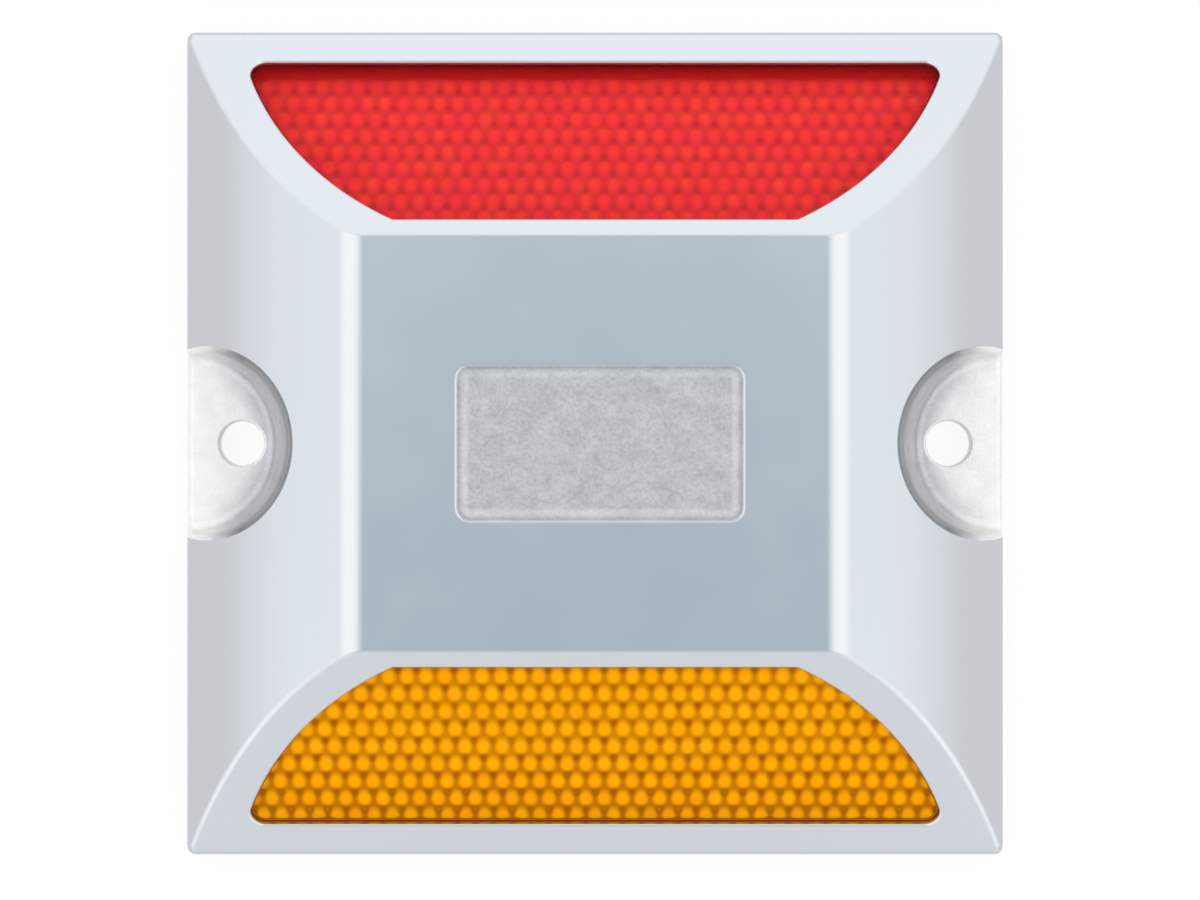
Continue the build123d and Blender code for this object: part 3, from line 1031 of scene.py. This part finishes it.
# %% [markdown]
# ## Cast aluminium
# The top of the casting is satin, polished a little by tumbling, while the pockets, the centre recess
# and the underside keep the raw grain of the die. One material does it all: the nodes read the skin's
# mark and blend colour, roughness and bump from satin over a painted dark shade to grainy and matt. The
# same mark carries the painted shade and highlight in the pockets and the centre recess. Several
# materials would leave hard borders where the finish and the painted shade fade out over the lips.

# %% Aluminium nodes
# Colour and grit by the finish mark. The dark stop at a quarter is painted shade.
metal_tones = [
    (0.0, (0.565, 0.578, 0.604)),
    (0.25, (0.19, 0.20, 0.21)),
    (0.5, (0.433, 0.429, 0.448)),
    (1.0, (0.814, 0.794, 0.784)),
]
metal_grit = [(0.0, (0, 0, 0)), (0.5, (1, 1, 1)), (1.0, (0.4, 0.4, 0.4))]
# Grains to a metre and levels of detail: cloud, fine, coarse and blotch.
metal_grains = [(90.0, 2.0), (5200.0, 2.0), (2600.0, 5.0), (420.0, 4.0)]
most_noise, middle_noise, upper_noise = (0.3, 0.7), (0.35, 0.65), (0.4, 0.8)
blotch_share = 0.4
speckle_range = (0.82, 1.18)
satin_roughness, grainy_roughness, matt_extra = (0.2, 0.22), (0.4, 0.6), (0.0, 0.17)
bump_range = (0.02, 0.5)
metal_grain_depth = 0.0001


def cast_aluminium():
    """Satin metal that turns to a painted dark shade, then grainy and then matt, as the finish mark rises.
    """
    material, nodes = new_material("cast_aluminium")
    finish = nodes.mark("finish")
    cloud, fine, coarse, blotch = (nodes.grain(*size) for size in metal_grains)
    speckle = nodes.remap(nodes.mix(blotch_share, coarse, blotch), *middle_noise, *speckle_range)
    spread = nodes.mix(nodes.ramp(finish, metal_grit), 1.0, speckle)
    raw = nodes.remap(finish, SATIN, GRAINY)
    satin = nodes.remap(cloud, *most_noise, *satin_roughness)
    grainy = nodes.remap(coarse, *most_noise, *grainy_roughness)
    rough = nodes.math("ADD", grainy, nodes.remap(finish, GRAINY, MATT, *matt_extra))
    strength = nodes.remap(finish, SATIN, MATT, *bump_range)
    nodes.shade({
        "Base Color": nodes.vector("MULTIPLY", nodes.ramp(finish, metal_tones), spread),
        "Roughness": nodes.mix(raw, satin, rough),
        "Normal": nodes.bump(nodes.mix(raw, fine, coarse), strength, metal_grain_depth),
        "Metallic": 1,
    })
    return material


dress(stud_casting, cast_aluminium())
print("casting dressed in", stud_casting.data.materials[0].name)

# %% [markdown]
# ## Acrylic pins
# The dots are painted in the bright colour of the light that the pins send back, the seams fall to a
# deeper one, and a painted spot of shade lies below every pin. A picture could paint them, but it
# would blur close up. The nodes work out the same staggered rows as the mesh, from Object coordinates,
# so the dots land on the domes, and the painted light mark of a tray only paints shade on its walls.
# From halfway down the lens, painted light brightens the red pins towards their lower edge and painted
# shade darkens the amber ones there.

# %% Colours of the pins
# Stops up to 0.2 are painted shade on the tray walls, darkest at their rim.
pin_colours = {
    "red": [
        (0.0, (0.21, 0.004, 0.005)),
        (0.2, (0.59, 0.016, 0.016)),
        (0.35, (0.41, 0.023, 0.023)),
        (0.6, (0.60, 0.026, 0.027)),
        (1.0, (0.83, 0.037, 0.033)),
    ],
    "amber": [
        (0.0, (0.37, 0.115, 0.006)),
        (0.2, (0.42, 0.14, 0.002)),
        (0.3, (0.32, 0.082, 0.001)),
        (0.6, (0.57, 0.187, 0.001)),
        (1.0, (0.88, 0.362, 0.001)),
    ],
}
# Dots and painted shade spots have a middle, an edge and a spread. From halfway down the lens, seams and
# peaks change: painted light on the red pins, painted shade on the amber ones.
pin_looks = {
    "red": {
        "dots": (0.15, 0.95, 0.22), "pits": (0.1, 0.62, 0.6), "shade_spot_depth": 0.21,
        "seams": (0.57, 0.64), "peaks": (0.9, 1.0), "hue": 0.002,
    },
    "amber": {
        "dots": (0.32, 0.9, 0.16), "pits": (0.1, 0.6, 0.5), "shade_spot_depth": 0.28,
        "seams": (0.58, 0.42), "peaks": (1.0, 0.92), "hue": 0.003,
    },
}
for colour, stops in pin_colours.items():
    print(colour, "pins run from", stops[0][1], "in their pits to", stops[-1][1], "on their dots")

# %% Dots on staggered rows
def staggered_dots(nodes, steps, middle, edge, spread):
    """Dots on the staggered rows: 1 within the middle, 0 beyond the edge, each lowered by its own chance.

    Both lattices of the rows give the offset from their nearest point, which is the fraction of the
    steps, and the point's whole number, which picks the chance. The brighter dot of the two counts."""
    layers = []
    for half_step in (0.0, 0.5):
        shift = (half_step + 0.5, half_step + 0.5, 2 * half_step)
        moved = nodes.vector("ADD", steps, shift)
        offset = nodes.vector("SUBTRACT", nodes.vector("FRACTION", moved), (0.5, 0.5, 0))
        share = nodes.measure("LENGTH", nodes.vector("MULTIPLY", offset, (*lattice_stretch, 0)))
        dot = nodes.remap(share, edge, middle, curve="SMOOTHSTEP")
        chance = nodes.add("TexWhiteNoise", {"Vector": nodes.vector("FLOOR", moved)})["Value"]
        layers.append(nodes.math("MULTIPLY", dot, nodes.math("MULTIPLY_ADD", chance, -spread, 1.0)))
    return nodes.math("MAXIMUM", *layers)


for colour, look in pin_looks.items():
    print(colour, "dots reach", look["dots"][1], "of the way to the corners, pits", look["pits"][1])

# %% Acrylic of the pins
# Painted spots of shade lie a third of a pair of rows below the pins. The third number gives them chances of
# their own.
shade_spot_shift = (0, -1 / 3, 4)
cloud_grain = (420.0, 1.0)
pin_roughness = 0.5


def pin_acrylic(colour, lens, look):
    """Coloured acrylic with a painted bright dot on every pin, duller seams and a painted spot of shade
    below each pin.
    """
    material, nodes = new_material(colour + "_pins")
    place = nodes.add("TexCoord")["Object"]
    facing = np.array((1, lens["sign"][1], 1))
    top_edge, downhill = slope_face[0] * facing, -slope_face[2] * facing
    first_row, pair = lens["first_row"], 2 * lens["row_pitch"]
    across = nodes.measure("DOT_PRODUCT", place, (1 / (lens["pitch"] * MM), 0, 0))
    along = nodes.measure("DOT_PRODUCT", place, downhill / (pair * MM))
    down = nodes.math("SUBTRACT", along, (top_edge @ downhill + first_row) / pair)
    steps = nodes.add("CombineXYZ", {"X": across, "Y": down})[0]
    dots = staggered_dots(nodes, steps, *look["dots"])
    pits = staggered_dots(nodes, nodes.vector("ADD", steps, shade_spot_shift), *look["pits"])
    halfway = ((opening_top + opening_bottom) / 2 - first_row) / pair
    bottom = (opening_bottom - first_row) / pair
    seams, peaks = (nodes.remap(down, halfway, bottom, *look[part]) for part in ("seams", "peaks"))
    field = nodes.math("MULTIPLY_ADD", pits, -look["shade_spot_depth"], nodes.mix(dots, seams, peaks))
    level = nodes.math("MINIMUM", field, nodes.mark("glow"))
    hue_range = (0.5 - look["hue"], 0.5 + look["hue"])
    hue = nodes.remap(nodes.grain(*cloud_grain), *middle_noise, *hue_range)
    tinted = nodes.add("HueSaturation", {"Hue": hue, "Color": nodes.ramp(level, pin_colours[colour])})[0]
    nodes.shade({"Base Color": tinted, "Roughness": pin_roughness, "Specular IOR Level": 0.0})
    return material


for colour, lens in lenses.items():
    dress(lens["pins"], pin_acrylic(colour, lens, pin_looks[colour]))
    print(colour, "pins dressed in", lens["pins"].data.materials[0].name)

# %% [markdown]
# ## Clear faces
# The lens face adds the gloss of clear acrylic, a mix of see-through and mirror. The mirror grows with
# the fifth power of 1 - cosine of the angle of sight: a short form of Fresnel's law, alike for both
# sides of the slab. A refracting shader would darken the pins behind it.

# %% Acrylic of the faces
face_mirror = 0.001
grazing_mirror = 0.5
handling_grain = (900.0, 3.0)
face_roughness = (0.04, 0.16)


def clear_acrylic(colour):
    """Clear face: see-through, and more of a mirror the flatter it is seen, with fine handling marks.

    mirror = share face on + share at grazing x (1 - cosine of the angle of sight)⁵."""
    material, nodes = new_material(colour + "_face")
    blur = nodes.remap(nodes.grain(*handling_grain), *upper_noise, *face_roughness)
    gloss = nodes.add("BsdfGlossy", {"Roughness": blur})[0]
    clear = nodes.add("BsdfTransparent")[0]
    # With Blend at one half, Facing is 1 - cosine.
    facing = nodes.add("LayerWeight", {"Blend": 0.5})["Facing"]
    mirror = nodes.math("MULTIPLY_ADD", nodes.math("POWER", facing, 5.0), grazing_mirror, face_mirror)
    nodes.show(nodes.blend(mirror, clear, gloss))
    return material


for colour, lens in lenses.items():
    dress(lens["face"], clear_acrylic(colour))
    print(colour, "face dressed in", lens["face"].data.materials[0].name)

# %% [markdown]
# ## Hidden back plates and glue
# Each lens is closed from behind by a plastic plate and glued into its recess. Both stay as the CAD
# model has them, since their plain forms are right, and get the finish of moulded plastic and glue.

# %% Plates and glue
mottle_detail = 3.0
mottle_bump = 0.4


def moulded(name, dark, light, scale, roughness, bump_depth):
    """Matt moulded finish with mottled colour and a fine grain."""
    material, nodes = new_material(name)
    mottle = nodes.grain(scale, mottle_detail)
    nodes.shade({
        "Base Color": nodes.ramp(mottle, [*zip(middle_noise, (dark, light))]),
        "Normal": nodes.bump(mottle, mottle_bump, bump_depth),
        "Roughness": roughness,
    })
    return material


plate_plastic = moulded(
    "plate_plastic", dark=(0.62, 0.62, 0.60), light=(0.70, 0.70, 0.68),
    scale=1500.0, roughness=0.5, bump_depth=0.00005,
)
glue = moulded(
    "glue", dark=(0.50, 0.44, 0.30), light=(0.60, 0.54, 0.40),
    scale=600.0, roughness=0.35, bump_depth=0.0001,
)
for colour in lenses:
    dress(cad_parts[colour + "_back_plate"], plate_plastic)
    dress(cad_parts[colour + "_adhesive_bed"], glue)
    print(colour, "plate and glue bed dressed")

# %% [markdown]
# ## Floor, light and camera
# The stud lies on a white table under soft light from all around, and the camera looks straight
# down. Satin metal shows what it mirrors, and lamps would show as spots. So the light is a sky with a
# plan: a darker patch around the camera that the plateau mirrors, bright panels to the two sides that
# the shoulders catch, some light half high in the two front corners, and a paler horizon.

# %% Floor
table_half = 12.0
table_white = (0.88, 0.88, 0.88, 1)
table_glow = 0.88


def white_table():
    """White for the eye and for mirrors, with a share of true shading that keeps the shadow."""
    material, nodes = new_material("white_table")
    ray = nodes.add("LightPath")
    direct = nodes.math("ADD", ray["Is Camera Ray"], ray["Is Glossy Ray"])
    shown = nodes.math("ADD", direct, ray["Is Transmission Ray"])
    shown.node.use_clamp = True
    matt = nodes.add("BsdfDiffuse", {"Color": table_white})[0]
    bright = nodes.add("Emission", {"Strength": 1.0})[0]
    nodes.show(nodes.blend(shown, matt, nodes.blend(table_glow, matt, bright)))
    return material


table_mesh = bpy.data.meshes.new("table")
table_mesh.from_pydata(np.pad(table_half * SQUARE, ((0, 0), (0, 1))), [], [(0, 1, 2, 3)])
table = bpy.data.objects.new("table", table_mesh)
bpy.context.scene.collection.objects.link(table)
dress(table, white_table())
print("table", 2 * table_half, "m wide")

# %% Plan of the sky
sky_strength = 1.62
sky_lean = 0.17
sky_tilt = np.radians(4)
sky_axis = (0, -np.sin(sky_tilt), np.cos(sky_tilt))
side_edges = (0.35, 0.8)
corner_light = 1.05
corner_band = [(0.1, (0, 0, 0)), (0.55, (1, 1, 1)), (0.85, (0, 0, 0))]
# Rings of the sky: degrees off its axis, and colour.
dark_patch = [(0, (0.298, 0.37, 0.42)), (6, (0.335, 0.408, 0.457))]
horizon = [(68, (0.765, 0.795, 0.81)), (80, (0.71, 0.74, 0.755)), (90, (0.66, 0.68, 0.69))]
panel = [(14, (1.0, 1.0, 0.98)), (34, (1.0, 1.0, 0.98)), (40, (0.77, 0.805, 0.83))]
sky_to_the_ends = [*dark_patch, (14, (0.50, 0.56, 0.60)), (40, (0.76, 0.785, 0.80)), *horizon]
sky_to_the_sides = [*dark_patch, *panel, *horizon]
print("sky of", len(sky_to_the_sides), "rings to the sides and", len(sky_to_the_ends), "to the ends")

# %% Light
world = bpy.data.worlds.new("studio")
bpy.context.scene.world = world
world.use_nodes = True
nodes = Nodes(world.node_tree)
direction = nodes.add("TexCoord")["Generated"]
off_axis = nodes.math("ARCCOSINE", nodes.measure("DOT_PRODUCT", direction, sky_axis))
share_of_sky = nodes.math("DIVIDE", off_axis, np.pi / 2)
to_the_ends, to_the_sides = (
    nodes.ramp(share_of_sky, [(degrees / 90, colour) for degrees, colour in rings])
    for rings in (sky_to_the_ends, sky_to_the_sides)
)
compass = nodes.vector("NORMALIZE", nodes.vector("MULTIPLY", direction, (1, 1, 0)))
beside = nodes.math("ABSOLUTE", nodes.add("SeparateXYZ", {0: compass})["X"])
side_share = nodes.remap(beside, *side_edges)
# The colours of a Mix node are its inputs 6 and 7 and its output 2.
ring_ends = {"Factor": side_share, 6: to_the_ends, 7: to_the_sides}
sky_colour = nodes.add("Mix", ring_ends, data_type="RGBA")[2]
x, y, z = nodes.add("SeparateXYZ", {0: direction})
leaning = nodes.math("MULTIPLY_ADD", y, sky_lean * sky_strength, sky_strength)
to_the_front = nodes.math("MULTIPLY", nodes.math("ABSOLUTE", x), nodes.math("MINIMUM", y, 0.0))
front_corners = nodes.math("MULTIPLY", to_the_front, nodes.ramp(z, corner_band))
strength = nodes.math("MULTIPLY_ADD", front_corners, -corner_light * sky_strength, leaning)
nodes.feed(world.node_tree.nodes["Background"], {"Color": sky_colour, "Strength": strength})
print("sky of", len(world.node_tree.nodes), "nodes")

# %% Camera
camera = bpy.data.cameras.new("overhead_camera")
camera.sensor_width = 36
camera.lens = 134.15
eye = bpy.data.objects.new("overhead_camera", camera)
eye.location = (0.0006, -0.0008, 0.550)
bpy.context.scene.collection.objects.link(eye)
bpy.context.scene.camera = eye
bpy.context.scene.view_settings.view_transform = "Standard"
print(f"camera {eye.location.z:.3f} m above the table, lens {camera.lens:.2f} mm")

# %% [markdown]
